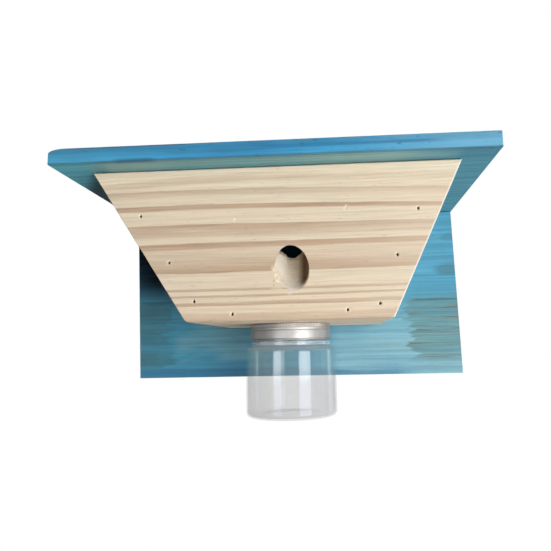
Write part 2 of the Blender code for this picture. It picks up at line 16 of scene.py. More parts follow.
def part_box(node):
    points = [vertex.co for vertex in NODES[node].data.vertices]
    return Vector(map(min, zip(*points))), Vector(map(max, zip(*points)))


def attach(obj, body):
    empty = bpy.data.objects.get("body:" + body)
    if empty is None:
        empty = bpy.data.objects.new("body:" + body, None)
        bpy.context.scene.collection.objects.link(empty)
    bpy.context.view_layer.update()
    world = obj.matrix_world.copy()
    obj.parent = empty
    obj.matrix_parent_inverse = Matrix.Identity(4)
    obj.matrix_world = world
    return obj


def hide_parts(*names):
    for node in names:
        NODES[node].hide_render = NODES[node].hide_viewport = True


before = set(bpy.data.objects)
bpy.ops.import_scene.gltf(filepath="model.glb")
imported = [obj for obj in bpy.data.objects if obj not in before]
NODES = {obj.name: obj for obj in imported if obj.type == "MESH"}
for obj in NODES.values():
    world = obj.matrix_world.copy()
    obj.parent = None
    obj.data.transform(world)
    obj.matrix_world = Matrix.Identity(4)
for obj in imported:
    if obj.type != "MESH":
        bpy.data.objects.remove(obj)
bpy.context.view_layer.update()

SCENE = bpy.context.scene
MM = 0.001
CORNER_STEPS = 6        # facets in a rounded corner of an outline
ARRIS_STEPS = 4         # facets in the rounded arris of a board


# ---------------- mesh tools

def as_mesh(name, bm):
    """A mesh from a bmesh, which is used up."""
    bmesh.ops.recalc_face_normals(bm, faces=bm.faces)
    mesh = bpy.data.meshes.new(name)
    bm.to_mesh(mesh)
    bm.free()
    return mesh


def new_piece(name, bm, body, material, replaced, smooth=35):
    """Makes a piece that rides on a body, in place of the CAD nodes named."""
    mesh = as_mesh(name, bm)
    mesh.materials.append(material)
    mesh.shade_smooth()
    mesh.set_sharp_from_angle(angle=math.radians(smooth))
    piece = bpy.data.objects.new(name, mesh)
    SCENE.collection.objects.link(piece)
    weighted = piece.modifiers.new("flat_faces", "WEIGHTED_NORMAL")
    weighted.keep_sharp = True
    weighted.weight = 80
    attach(piece, body)
    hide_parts(*replaced)
    return piece


def solid_copy(node):
    """A CAD node's solid with its flat faces whole again."""
    bm = bmesh.new()
    bm.from_mesh(NODES[node].data)
    bmesh.ops.remove_doubles(bm, verts=bm.verts, dist=1e-6)
    bmesh.ops.dissolve_limit(bm, angle_limit=math.radians(0.5), verts=bm.verts, edges=bm.edges)
    return bm


def outline_of(node):
    """The outline of a board across Y: the convex hull of its corners, anticlockwise."""
    points = sorted({(round(v.co.x, 6), round(v.co.z, 6)) for v in NODES[node].data.vertices})

    def chain(items):
        kept = []
        for x, z in items:
            while len(kept) > 1:
                (ax, az), (bx, bz) = kept[-2:]
                if (bx - ax) * (z - az) - (bz - az) * (x - ax) > 1e-10:
                    break
                kept.pop()
            kept.append((x, z))
        return kept[:-1]

    return chain(points) + chain(points[::-1])


def rounded(outline, corners):
    """A four-sided outline with its corners rounded: by the radius given for one nearby, or little."""
    points = [Vector((x, 0.0, z)) for x, z in outline]
    sides = [pair for pair in zip(points, points[1:] + points[:1])
             if (pair[1] - pair[0]).length > 0.010]
    line = []
    for (a, b), (c, d) in zip(sides, sides[1:] + sides[:1]):
        corner = intersect_line_line(a, b, c, d)[0]
        radius = 0.0004
        for x, z, amount in corners:
            if (corner - Vector((x, 0.0, z))).length < 0.010:
                radius = amount
        before = (a - b).normalized()
        after = (d - c).normalized()
        half = before.angle(after) / 2
        centre = corner + (before + after).normalized() * (radius / math.sin(half))
        start = (corner + before * (radius / math.tan(half)) - centre).normalized()
        end = (corner + after * (radius / math.tan(half)) - centre).normalized()
        for step in range(CORNER_STEPS + 1):
            point = centre + start.slerp(end, step / CORNER_STEPS) * radius
            line.append((point.x, point.z))
    return line


def skin(bm, rings):
    """Faces between rings of points, and over the first and the last ring."""
    for ring, following in zip(rings, rings[1:]):
        for index in range(len(ring)):
            other = (index + 1) % len(ring)
            bm.faces.new((ring[index], ring[other], following[other], following[index]))
    bm.faces.new(rings[0])
    bm.faces.new(rings[-1])


def board(outline, low, high, radius, step=0.003, wander=0.00005):
    """A board cut to an outline in XZ, from low to high along Y, with its arrises rounded."""
    line = []
    for (ax, az), (bx, bz) in zip(outline, outline[1:] + outline[:1]):
        parts = max(1, round(math.hypot(bx - ax, bz - az) / step))
        for part in range(parts):
            share = part / parts
            line.append(Vector((ax + (bx - ax) * share, 0.0, az + (bz - az) * share)))
    layers = []
    for turn in range(ARRIS_STEPS + 1):
        angle = math.pi / 2 * turn / ARRIS_STEPS
        layers.append((radius * (1 - math.sin(angle)), radius * (1 - math.cos(angle))))
    layers = [(low + depth, inset) for inset, depth in layers]
    layers += [(low + high - y, inset) for y, inset in reversed(layers)]
    bm = bmesh.new()
    rings = []
    for y, inset in layers:
        ring = []
        for index, point in enumerate(line):
            tangent = line[(index + 1) % len(line)] - line[index - 1]
            outward = Vector((tangent.z, 0.0, -tangent.x)).normalized()
            uneven = wander * (1 + noise.noise(Vector((point.x * 90, y * 40, point.z * 90))))
            ring.append(bm.verts.new(point - outward * (inset + uneven) + Vector((0.0, y, 0.0))))
        rings.append(ring)
    skin(bm, rings)
    return bm


def dressed(node, edge=0.0002, step=0.006, wander=0.00005):
    """A CAD board with its long arrises made slightly uneven and every edge rounded."""
    bm = solid_copy(node)
    sharp = [item for item in bm.edges if item.calc_face_angle(0.0) > math.radians(30)]
    for item in sharp:
        if item.calc_length() > 3 * step:
            cuts = int(item.calc_length() / step)
            bmesh.ops.subdivide_edges(bm, edges=[item], cuts=cuts)
    bm.normal_update()
    for vert in bm.verts:
        vert.co -= vert.normal * wander * (1 + noise.noise(vert.co * 90))
    sharp = [item for item in bm.edges if item.calc_face_angle(0.0) > math.radians(30)]
    bmesh.ops.bevel(bm, geom=sharp, offset=edge, segments=2, profile=0.5, affect="EDGES",
                    clamp_overlap=True)
    return bm


def turned(profile, steps, bend, closed=True):
    """Spins a profile of (radius, height) about Z. bend(angle, radius, height) gives the radius."""
    bm = bmesh.new()
    columns = []
    for step in range(steps):
        angle = math.tau * step / steps
        column = []
        for radius, height in profile:
            radius = bend(angle, radius, height)
            column.append(bm.verts.new((radius * math.cos(angle), radius * math.sin(angle), height)))
        columns.append(column)
    count = len(profile)
    for column, following in zip(columns, columns[1:] + columns[:1]):
        for index in range(count if closed else count - 1):
            other = (index + 1) % count
            bm.faces.new((column[index], following[index], following[other], column[other]))
    bmesh.ops.remove_doubles(bm, verts=bm.verts, dist=1e-7)
    return bm


def arc(centre, radius, start, end, steps):
    """Points along an arc between two angles in degrees."""
    points = []
    for step in range(steps + 1):
        angle = math.radians(start + (end - start) * step / steps)
        points.append((centre[0] + radius * math.cos(angle), centre[1] + radius * math.sin(angle)))
    return points


def cut(bm, cutter):
    """The solid after a cutter, both as bmeshes; the cutter is used up."""
    objects = []
    for name, item in (("solid", bm), ("cutter", cutter)):
        objects.append(bpy.data.objects.new(name, as_mesh(name, item)))
        SCENE.collection.objects.link(objects[-1])
    solid, tool = objects
    modifier = solid.modifiers.new("cut", "BOOLEAN")
    modifier.operation = "DIFFERENCE"
    modifier.solver = "EXACT"
    modifier.object = tool
    graph = bpy.context.evaluated_depsgraph_get()
    result = bmesh.new()
    result.from_mesh(solid.evaluated_get(graph).to_mesh())
    for item in objects:
        mesh = item.data
        bpy.data.objects.remove(item)
        bpy.data.meshes.remove(mesh)
    return result


def drilled(start, direction, radius, length, shape, steps=96, rings=110):
    """A drill's path. shape(point, spoke) gives how far the wall lies beyond the radius."""
    turn = Vector(direction).to_track_quat("Z", "Y").to_matrix()
    bm = bmesh.new()
    loops = []
    for ring in range(rings + 1):
        along = length * ring / rings
        loop = []
        for step in range(steps):
            angle = math.tau * step / steps
            spoke = turn @ Vector((math.cos(angle), math.sin(angle), 0.0))
            spine = Vector(start) + Vector(direction) * along
            wall = radius + shape(spine + spoke * radius, spoke)
            loop.append(bm.verts.new(spine + spoke * wall))
        loops.append(loop)
    skin(bm, loops)
    return bm


def smoothstep(low, high, value):
    share = max(0.0, min(1.0, (value - low) / (high - low)))
    return share * share * (3 - 2 * share)


# ---------------- node tools

class Shade:
    """A material's node tree, built up from object coordinates in metres."""

    def __init__(self, name):
        self.material = bpy.data.materials.new(name)
        self.material.use_nodes = True
        self.tree = self.material.node_tree
        self.surface = self.tree.nodes["Principled BSDF"]
        self.place = self.add("ShaderNodeTexCoord").outputs["Object"]
        self.x, self.y, self.z = self.split(self.place)

    def add(self, kind, **settings):
        node = self.tree.nodes.new(kind)
        for key, value in settings.items():
            setattr(node, key, value)
        return node

    def feed(self, value, socket):
        if isinstance(value, bpy.types.NodeSocket):
            self.tree.links.new(value, socket)
        else:
            socket.default_value = value

    def set(self, **values):
        for key, value in values.items():
            self.feed(value, self.surface.inputs[key.replace("_", " ")])

    def split(self, vector):
        node = self.add("ShaderNodeSeparateXYZ")
        self.feed(vector, node.inputs[0])
        return node.outputs

    def join(self, x, y, z):
        node = self.add("ShaderNodeCombineXYZ")
        for value, socket in zip((x, y, z), node.inputs):
            self.feed(value, socket)
        return node.outputs[0]

    def math(self, operation, *values):
        node = self.add("ShaderNodeMath", operation=operation)
        for value, socket in zip(values, node.inputs):
            self.feed(value, socket)
        return node.outputs[0]

    def less(self, value, taken):
        return self.math("SUBTRACT", value, taken)

    def sum(self, *values):
        total = values[0]
        for value in values[1:]:
            total = self.math("ADD", total, value)
        return total

    def times(self, *values):
        total = values[0]
        for value in values[1:]:
            total = self.math("MULTIPLY", total, value)
        return total

    def scaled(self, vector, *factors):
        node = self.add("ShaderNodeVectorMath", operation="MULTIPLY")
        self.feed(vector, node.inputs[0])
        node.inputs[1].default_value = factors
        return node.outputs[0]

    def noise(self, vector, detail=2.0, roughness=0.5):
        node = self.add("ShaderNodeTexNoise")
        self.feed(vector, node.inputs["Vector"])
        node.inputs["Scale"].default_value = 1.0
        node.inputs["Detail"].default_value = detail
        node.inputs["Roughness"].default_value = roughness
        return node.outputs["Fac"]

    def grains(self, *cycles, detail=3.0):
        """Noise with this many cycles a metre: one number, or one for each axis."""
        if len(cycles) == 1:
            cycles = cycles * 3
        return self.noise(self.scaled(self.place, *cycles), detail=detail)

    def distance(self, a, b):
        """How far off two offsets at right angles lead."""
        return self.math("SQRT", self.sum(self.times(a, a), self.times(b, b)))

    def swing(self, field, size):
        """A noise's swing about its middle, as a length."""
        return self.times(self.less(field, 0.5), size)

    def span(self, value, low, high, to_low=0.0, to_high=1.0, kind="LINEAR"):
        """Leads a value from between low and high to between to_low and to_high."""
        node = self.add("ShaderNodeMapRange", interpolation_type=kind)
        for item, socket in zip((value, low, high, to_low, to_high), node.inputs):
            self.feed(item, socket)
        return node.outputs[0]

    def ease(self, value, low, high, to_low=0.0, to_high=1.0):
        """The same, slower at both ends."""
        return self.span(value, low, high, to_low, to_high, "SMOOTHSTEP")

    def between(self, value, start, full, last, end):
        """0 up to start, 1 from full to last, 0 from end."""
        return self.times(self.ease(value, start, full), self.ease(value, end, last))

    def ramp(self, value, stops, low, high):
        """A grey ramp between low and high, with stops of (value, grey) in rising order."""
        node = self.add("ShaderNodeValToRGB")
        self.feed(self.span(value, low, high), node.inputs[0])
        elements = node.color_ramp.elements
        while len(elements) < len(stops):
            elements.new(1.0)
        for element, (place, tone) in zip(elements, stops):
            element.position = (place - low) / (high - low)
        for element, (place, tone) in zip(elements, stops):
            element.color = (tone, tone, tone, 1.0)
        return node.outputs["Color"]

    def mix(self, factor, first, second, blend="MIX"):
        node = self.add("ShaderNodeMix", data_type="RGBA", blend_type=blend)
        self.feed(factor, node.inputs[0])
        for value, socket in ((first, node.inputs[6]), (second, node.inputs[7])):
            if isinstance(value, tuple):
                value = (*value, 1.0)
            self.feed(value, socket)
        return node.outputs[2]

    def tint(self, colour, tone, *shares):
        """Mixes a tone into a colour, by the product of the shares."""
        return self.mix(self.times(*shares), colour, tone)

    def bump(self, height, distance):
        node = self.add("ShaderNodeBump")
        node.inputs["Distance"].default_value = distance
        self.feed(height, node.inputs["Height"])
        return node.outputs[0]


class Wood(Shade):
    """Sawn wood. The axes of the fibre, of the face across it and of the thickness are 0, 1 or 2."""

    def __init__(self, name, along, across, through, seed):
        super().__init__(name)
        place = (self.x, self.y, self.z)
        self.u, self.v, self.w = place[along], place[across], place[through]
        self.seed = seed
        slow = self.noise(self.stretched(5.0, 16.0), detail=3.0)
        quick = self.noise(self.stretched(38.0, 190.0), detail=2.0)
        drift = self.sum(self.swing(slow, 0.006), self.swing(quick, 0.0011))
        self.ring_place = self.sum(self.v, self.times(self.w, 0.45), drift)
        self.fibre = self.noise(self.streaks(30.0, 1250.0), detail=4.0, roughness=0.62)
        self.cords = self.noise(self.streaks(9.0, 520.0), detail=3.0, roughness=0.55)
        dash = self.noise(self.streaks(160.0, 1500.0), detail=1.0)
        self.dashes = self.ease(dash, 0.70, 0.78)

    def stretched(self, along, across, shift=0.0):
        """Coordinates squeezed along the fibre: along and across are in cycles a metre."""
        return self.join(self.sum(self.times(self.u, along), self.seed + shift),
                         self.times(self.v, across), self.times(self.w, across))

    def streaks(self, along, across, shift=0.0):
        """The same, but bent along with the growth rings."""
        return self.join(self.sum(self.times(self.u, along), self.seed + shift),
                         self.times(self.ring_place, across), self.times(self.w, across * 0.4))

    def rings(self, spacing):
        """Late wood from 0 to 1: each ring darkens slowly and ends sharply."""
        count = self.times(self.ring_place, 1 / spacing)
        uneven = self.noise(self.join(self.times(count, 0.37), self.seed, 0.0), detail=1.0)
        phase = self.math("FRACT", self.sum(count, self.times(uneven, 3.2)))
        late = self.times(self.ease(phase, 0.30, 0.86), self.span(phase, 1.0, 0.94))
        force = self.noise(self.join(self.times(count, 0.61), self.seed + 9.0, 0.0))
        return self.times(late, self.span(force, 0.34, 0.66, 0.25, 1.0))

    def raised_grain(self, late, depth):
        """Bump from the rings, the fibres and the open pores; its height is in metres."""
        height = self.sum(self.times(late, 0.5), self.times(self.fibre, 0.6),
                          self.times(self.cords, 0.4), self.times(self.dashes, -0.6))
        return self.bump(height, depth)


# ---------------- pine

PINE_LIGHT = (0.895, 0.735, 0.550)
PINE_WARM = (0.880, 0.750, 0.575)
PINE_LATE = (0.560, 0.375, 0.250)
PINE_DASH = (0.300, 0.225, 0.160)

# Growth bands of the front panel in mm from the origin: the sharp edge, the far edge, how dark the
# band is at each, how far the sharp edge takes to fade, and how far the other does
UPPER_BANDS = (
    (74.5, 70.0, 0.30, 0.42, 1.6, 1.6),
    (63.2, 58.4, 0.74, 0.20, 0.5, 1.0),
    (51.5, 48.9, 1.00, 0.90, 0.5, 1.2),
    (37.0, 28.6, 0.86, 0.34, 0.5, 1.0),
    (23.4, 20.0, 1.00, 0.80, 0.6, 1.2),
)
LOWER_BANDS = (
    (2.6, 8.6, 0.92, 0.62, 0.6, 4.6),
    (-10.9, -9.7, 0.80, 0.55, 0.4, 0.6),
    (-15.4, -14.4, 0.82, 0.55, 0.4, 0.7),
    (-21.4, -19.6, 0.86, 0.62, 0.5, 1.0),
    (-33.4, -28.6, 0.72, 0.50, 0.9, 2.2),
)


def band_stops(bands):
    """Ramp stops, in metres and rising, for bands given by their edges."""
    stops = []
    for sharp, far, dark, faint, quick, slow in bands:
        out = 1 if sharp > far else -1
        stops += [(sharp + out * quick, 0.0), (sharp, dark), (far, faint), (far - out * slow, 0.0)]
    return [(place * MM, tone) for place, tone in sorted(stops)]


def panel_late_wood(wood):
    """The front panel's late wood. Its bands fall to the right, and the top one bends at the left."""
    x = wood.times(wood.x, 10.0)
    square = wood.times(x, x)
    upper = wood.ease(wood.z, 0.020, 0.055)
    top = wood.ease(wood.z, 0.062, 0.068)
    fall = wood.sum(wood.times(x, 1.6), square)
    rise = wood.times(x, -0.4)
    left = wood.math("MINIMUM", x, 0.0)
    shift = wood.sum(rise, wood.times(upper, wood.less(fall, rise)),
                     wood.times(top, wood.times(left, left), 4.0))
    ripple = wood.noise(wood.stretched(11.0, 34.0, 3.0), detail=2.0)
    shiver = wood.noise(wood.stretched(60.0, 420.0, 5.0), detail=2.0)
    depth = wood.times(wood.less(wood.y, PANEL_FRONT), 0.6)
    place = wood.sum(wood.z, wood.times(shift, MM), depth,
                     wood.swing(ripple, 0.0024), wood.swing(shiver, 0.0009))
    upper_late = wood.ramp(place, band_stops(UPPER_BANDS), 0.018, 0.078)
    lower_late = wood.ramp(place, band_stops(LOWER_BANDS), -0.036, 0.016)
    haze = wood.times(wood.span(place, 0.0195, 0.0185), wood.span(place, 0.010, 0.012), 0.26)
    late = wood.sum(upper_late, lower_late, haze)
    paler_right = wood.span(wood.x, 0.020, 0.110, 1.0, 0.66)
    uneven = wood.noise(wood.stretched(14.0, 300.0, 8.0), detail=3.0)
    return wood.times(late, paler_right, wood.span(uneven, 0.25, 0.75, 0.72, 1.22))


def finish_pine(wood, late, rough_cut=None):
    """Colour, roughness and grain of bare pine over its late wood."""
    mottle = wood.noise(wood.stretched(7.0, 26.0, 12.0), detail=3.0)
    streak = wood.sum(wood.times(wood.cords, 0.45), wood.times(wood.fibre, 0.55))
    light = wood.mix(wood.span(mottle, 0.3, 0.7), PINE_LIGHT, PINE_WARM)
    colour = wood.mix(late, light, PINE_LATE)
    tone = wood.span(streak, 0.34, 0.66, 0.85, 1.10)
    colour = wood.mix(1.0, colour, wood.join(tone, tone, tone), "MULTIPLY")
    colour = wood.tint(colour, PINE_DASH, wood.dashes, 0.5)
    if rough_cut is not None:
        colour = rough_cut(wood, colour)
    wood.set(Base_Color=colour, Roughness=wood.span(wood.sum(late, wood.fibre), 0.2, 1.6, 0.66, 0.50),
             Normal=wood.raised_grain(late, 0.00011), Specular_IOR_Level=0.32)
    return wood.material


def drilled_grain(wood, across):
    """End grain on the hole's wall, with a painted highlight on its left side, painted shade on its
    right side, and pale fuzz at its foot.
    """
    mottled = wood.sum(wood.times(wood.grains(700.0), 0.5),
                       wood.times(wood.grains(60.0, 60.0, 1400.0, detail=2.0), 0.5))
    grain = wood.mix(wood.span(mottled, 0.40, 0.60), (0.80, 0.69, 0.54), (0.93, 0.84, 0.68))
    # Painted highlight on the hole's left wall.
    pale = wood.ease(across, -0.002, -0.0095)
    grain = wood.tint(grain, (1.0, 0.93, 0.80), pale, 0.9)
    # Painted shade on the hole's right wall.
    wall = wood.ease(across, 0.0020, 0.0085)
    grain = wood.tint(grain, (0.150, 0.060, 0.008), wall, 0.98)
    foot = wood.ease(wood.z, -0.004, -0.0115)
    return wood.tint(grain, (0.92, 0.82, 0.74), foot, 0.6)


def torn_lip(wood, left, up):
    """1 where the drill scraped the front bare, at the hole's lower left."""
    return wood.times(wood.between(left, -0.0165, -0.0135, -0.0075, -0.0040),
                      wood.between(up, -0.0120, -0.0095, 0.0045, 0.0080),
                      wood.span(wood.y, PANEL_FRONT + 0.010, PANEL_FRONT + 0.006))


def fuzzy_foot(wood, left, up):
    """1 on the pale fibres across the hole's lower rim."""
    below = wood.sum(up, 0.0100)
    return wood.times(wood.ease(wood.distance(left, below), 0.0060, 0.0030),
                      wood.span(wood.y, PANEL_FRONT + 0.006, PANEL_FRONT + 0.003))


def painted_arris_highlight(wood):
    """1 along the front panel's right arris, where a highlight is painted."""
    inward = wood.less(wood.times(wood.less(wood.z, PANEL_LOW.z), RIGHT_SLOPE),
                       wood.less(wood.x, RIGHT_FOOT))
    return wood.times(wood.span(inward, 0.0014, 0.0006),
                      wood.span(wood.y, PANEL_FRONT + 0.002, PANEL_FRONT + 0.001))


def crushed_ring(wood, x, z, ragged):
    """1 on the crushed fibres round a nail or a dent."""
    out = wood.distance(wood.less(wood.x, x), wood.less(wood.z, z))
    return wood.span(wood.sum(out, wood.times(ragged, 0.12)), 0.0027, 0.0018)


def entrance_wood(wood, colour):
    """The drilled hole with its painted highlight and shade, the wear round it, the painted highlight on
    the right arris and the nails' rings.
    """
    across = wood.less(wood.x, HOLE.x)
    inside = wood.times(wood.span(wood.y, PANEL_FRONT + 0.0003, PANEL_FRONT + 0.0012),
                        wood.span(wood.math("ABSOLUTE", across), 0.0185, 0.0170),
                        wood.span(wood.z, -0.0200, -0.0180))
    colour = wood.mix(inside, colour, drilled_grain(wood, across))
    ragged = wood.swing(wood.grains(190.0), 0.009)
    left = wood.sum(across, ragged)
    up = wood.sum(wood.z, ragged)
    lip = torn_lip(wood, left, up)
    colour = wood.tint(colour, (0.84, 0.72, 0.54), lip, 0.75)
    colour = wood.tint(colour, (0.90, 0.80, 0.70), fuzzy_foot(wood, left, up), 0.75)
    # A painted highlight along the panel's right arris.
    colour = wood.tint(colour, (1.0, 0.90, 0.80), painted_arris_highlight(wood), 0.8)
    speck = wood.span(wood.grains(700.0), 0.40, 0.60)
    for x, z in marks():
        colour = wood.tint(colour, (0.96, 0.86, 0.68), crushed_ring(wood, x, z, ragged), speck, 0.7)
    burr = wood.span(wood.grains(420.0, detail=2.0), 0.60, 0.70)
    return wood.tint(colour, (0.55, 0.27, 0.11), lip, burr, 0.75)


# ---------------- blue stain

STAIN_MID = (0.060, 0.305, 0.520)
STAIN_DEEP = (0.022, 0.135, 0.270)
STAIN_BROWN = (0.150, 0.130, 0.085)
STAIN_GLOSS = 0.35

# Dark spots on the back board: X, Z, half its width, half its height, and how strong it is
BACK_SPOTS = (
    (0.152, 0.020, 0.015, 0.0065, 0.9),
    (0.157, 0.052, 0.012, 0.0050, 0.6),
    (0.140, -0.0088, 0.030, 0.0014, 1.2),
    (-0.140, -0.0055, 0.022, 0.0020, 1.0),
)


def finish_stain(wood, colour, late):
    """Streaks, pores and a thin satin coat over stained wood."""
    streak = wood.sum(wood.times(wood.cords, 0.65), wood.times(wood.fibre, 0.35))
    tone = wood.span(streak, 0.34, 0.66, 0.80, 1.16)
    colour = wood.mix(1.0, colour, wood.join(tone, tone, tone), "MULTIPLY")
    colour = wood.tint(colour, STAIN_DEEP, late, 0.55)
    colour = wood.tint(colour, (0.015, 0.06, 0.10), wood.dashes, 0.55)
    wood.set(Base_Color=colour, Roughness=wood.span(wood.sum(late, wood.fibre), 0.3, 1.5, 0.50, 0.66),
             Normal=wood.raised_grain(late, 0.00012), Specular_IOR_Level=STAIN_GLOSS)
    return wood.material


def tongues(wood, edge, reach, out, rows, shift):
    """A stain's ragged end: 1 beyond an X, in tongues that follow the fibre; out is 1 or -1."""
    ragged = wood.noise(wood.stretched(10.0, rows, shift), detail=3.0, roughness=0.65)
    line = wood.sum(edge, wood.swing(ragged, reach * 2))
    past = wood.times(wood.less(wood.x, line), float(out))
    return wood.ease(past, -0.0022, 0.0022)


def roof_blue(wood, patches, above, behind):
    """Blue, paler to the right and along the front edge's crest, with one deep band below it."""
    colour = wood.mix(wood.span(patches, 0.35, 0.65), (0.068, 0.405, 0.700), (0.040, 0.260, 0.510))
    right = wood.ease(wood.x, 0.030, 0.150)
    colour = wood.tint(colour, (0.220, 0.550, 0.760), right, 0.70)
    left = wood.ease(wood.x, -0.090, -0.150)
    colour = wood.tint(colour, (0.110, 0.520, 0.760), left, 0.30)
    crest = wood.times(wood.ease(above, 0.0086, 0.0104),
                       wood.span(wood.noise(wood.stretched(12.0, 60.0, 7.0)), 0.42, 0.60))
    colour = wood.tint(colour, (0.170, 0.460, 0.640), crest, 0.45)
    band = wood.times(wood.between(above, 0.0052, 0.0066, 0.0076, 0.0088),
                      wood.between(wood.x, -0.012, 0.004, 0.104, 0.128),
                      wood.span(behind, 0.004, 0.001))
    return wood.tint(colour, (0.020, 0.160, 0.370), band, 0.55)


def roof_underside(wood, patches):
    """Green-grey blue, brighter at the left end, with a painted sheen mixed into the deeper blue at the
    right end, and a painted shadow in the corner beside the box.
    """
    pale = wood.mix(wood.span(patches, 0.36, 0.64), (0.250, 0.480, 0.480), (0.150, 0.420, 0.480))
    bluer = wood.between(wood.y, -0.108, -0.100, -0.076, -0.068)
    pale = wood.tint(pale, (0.120, 0.400, 0.520), bluer, 0.5)
    # Part of the right end's blue is a painted sheen: its red is raised to grey it.
    pale = wood.tint(pale, (0.085, 0.305, 0.410), wood.ease(wood.x, 0.070, 0.140))
    left = wood.ease(wood.x, -0.115, -0.145)
    pale = wood.tint(pale, (0.150, 0.620, 0.760), left, 0.85)
    # A painted shadow in the corner beside the box's left side.
    inward = wood.sum(wood.y, wood.times(wood.less(wood.x, -0.1375), 1.5))
    corner = wood.times(wood.span(wood.x, -0.120, -0.132),
                        wood.ease(inward, -0.182, -0.158))
    return wood.tint(pale, (0.020, 0.040, 0.048), corner, 0.88)


def roof_edges(wood, colour, above, behind):
    """A deep lower arris with one dark patch over it, and a purplish line on the upper one's left."""
    low_arris = wood.times(wood.span(above, 0.0016, 0.0009), wood.span(behind, 0.0022, 0.0014))
    colour = wood.tint(colour, (0.020, 0.070, 0.120), low_arris, 0.55)
    patch = wood.times(wood.ease(above, 0.0034, 0.0018),
                       wood.between(wood.x, -0.116, -0.106, -0.088, -0.078),
                       wood.span(behind, 0.004, 0.001))
    colour = wood.tint(colour, (0.012, 0.035, 0.110), patch, 0.4)
    top_arris = wood.times(wood.span(wood.less(ROOF_HIGH.z, wood.z), 0.0018, 0.0008),
                           wood.span(behind, 0.0010, 0.0004),
                           wood.span(wood.x, -0.152, -0.144), wood.span(wood.x, -0.052, -0.064))
    return wood.tint(colour, (0.110, 0.060, 0.090), top_arris, 0.55)


def roof_stain():
    wood = Wood("roof_blue_stain", 0, 1, 2, seed=4.0)
    above = wood.less(wood.z, ROOF_LOW.z)
    behind = wood.less(wood.y, ROOF_LOW.y)
    patches = wood.noise(wood.stretched(9.0, 40.0, 2.0), detail=3.0)
    colour = roof_blue(wood, patches, above, behind)
    colour = wood.mix(wood.span(above, 0.0009, 0.0003), colour, roof_underside(wood, patches))
    colour = roof_edges(wood, colour, above, behind)
    return finish_stain(wood, colour, wood.times(wood.rings(0.0085), 0.6))


def back_blue(wood, cloud):
    """The back board's blue: bright at the left, paler low down, and deep along its foot."""
    patches = wood.noise(wood.stretched(8.0, 30.0, 4.0), detail=3.0)
    colour = wood.mix(wood.span(patches, 0.32, 0.68), STAIN_MID, (0.080, 0.300, 0.430))
    left = wood.ease(wood.x, -0.060, -0.100)
    colour = wood.tint(colour, (0.065, 0.380, 0.560), left, 0.60)
    low_left = wood.times(wood.between(wood.z, -0.072, -0.060, -0.034, -0.014),
                          wood.between(wood.x, -0.128, -0.112, -0.050, 0.010),
                          wood.span(cloud, 0.34, 0.60))
    colour = wood.tint(colour, (0.230, 0.520, 0.620), low_left, 0.60)
    right = wood.ease(wood.x, 0.040, 0.120)
    colour = wood.tint(colour, (0.110, 0.400, 0.600), right, 0.30)
    colour = wood.tint(colour, (0.060, 0.290, 0.400), right, wood.span(cloud, 0.40, 0.62), 0.35)
    low_right = wood.times(wood.ease(wood.z, 0.000, -0.050),
                           wood.ease(wood.x, 0.020, 0.045),
                           wood.span(cloud, 0.25, 0.60, 0.6, 1.0))
    colour = wood.tint(colour, (0.320, 0.570, 0.640), low_right, 0.70)
    lowered = wood.sum(wood.z, wood.span(wood.x, 0.000, 0.060, 0.0, 0.0060))
    foot = wood.times(wood.ease(lowered, -0.0690, -0.0740),
                      wood.ease(wood.x, 0.125, 0.090))
    return wood.tint(colour, (0.040, 0.190, 0.360), foot, 0.7)


def back_ends(wood, colour, cloud):
    """Darker stain at both ends, in tongues along the fibre, with brown lines in it."""
    rows = wood.ramp(wood.sum(wood.z, wood.swing(cloud, 0.006)),
                     [(-0.073, 0.1), (-0.067, 1.0), (-0.058, 1.0), (-0.052, 0.25), (-0.046, 0.8),
                      (-0.036, 1.0), (-0.028, 0.45), (-0.022, 0.95), (-0.012, 1.0), (-0.004, 0.0)],
                     -0.080, 0.000)
    left = wood.times(tongues(wood, -0.128, 0.026, -1, 150.0, 1.0), rows)
    colour = wood.tint(colour, (0.060, 0.235, 0.300), left, 0.70)
    outer_left = wood.times(tongues(wood, -0.139, 0.016, -1, 260.0, 4.0), rows)
    colour = wood.tint(colour, (0.050, 0.150, 0.160), outer_left, 0.25)
    clouded = wood.sum(wood.z, wood.times(cloud, 0.012))
    right = wood.times(tongues(wood, 0.110, 0.034, 1, 120.0, 6.0),
                       wood.ease(wood.z, -0.002, -0.012),
                       wood.ease(clouded, -0.066, -0.056))
    colour = wood.tint(colour, (0.110, 0.270, 0.290), right, 0.70)
    lines = wood.ease(wood.noise(wood.streaks(22.0, 1100.0, 14.0)), 0.55, 0.65)
    stained = wood.sum(wood.times(right, 0.75), wood.times(left, 0.35))
    colour = wood.tint(colour, STAIN_BROWN, lines, stained)
    upper_lines = wood.span(wood.noise(wood.streaks(7.0, 420.0, 30.0)), 0.60, 0.68)
    return wood.tint(colour, STAIN_DEEP, upper_lines, wood.span(wood.z, -0.010, 0.010), 0.30)


def back_spot(wood, x, z, wide, tall):
    """1 on a ragged spot that follows the growth rings."""
    across = wood.times(wood.less(wood.x, x), 1 / wide)
    upright = wood.times(wood.less(wood.ring_place, z + 0.45 * BACK_FRONT), 1 / tall)
    ragged = wood.times(wood.noise(wood.stretched(60.0, 420.0, x * 100)), 0.8)
    return wood.ease(wood.sum(wood.distance(across, upright), ragged), 1.5, 0.9)


def back_corner_shadow(wood):
    """1 on the front face in the corner between the box's left side and the roof, where a shadow is
    painted.
    """
    beside = wood.less(wood.x, wood.sum(LEFT_FOOT,
                                        wood.times(wood.less(wood.z, UNDERSIDE), LEFT_SLOPE)))
    return wood.times(wood.ease(beside, -0.110, -0.040),
                      wood.span(beside, 0.020, 0.0),
                      wood.span(wood.y, BACK_FRONT + 0.0012, BACK_FRONT + 0.0006))


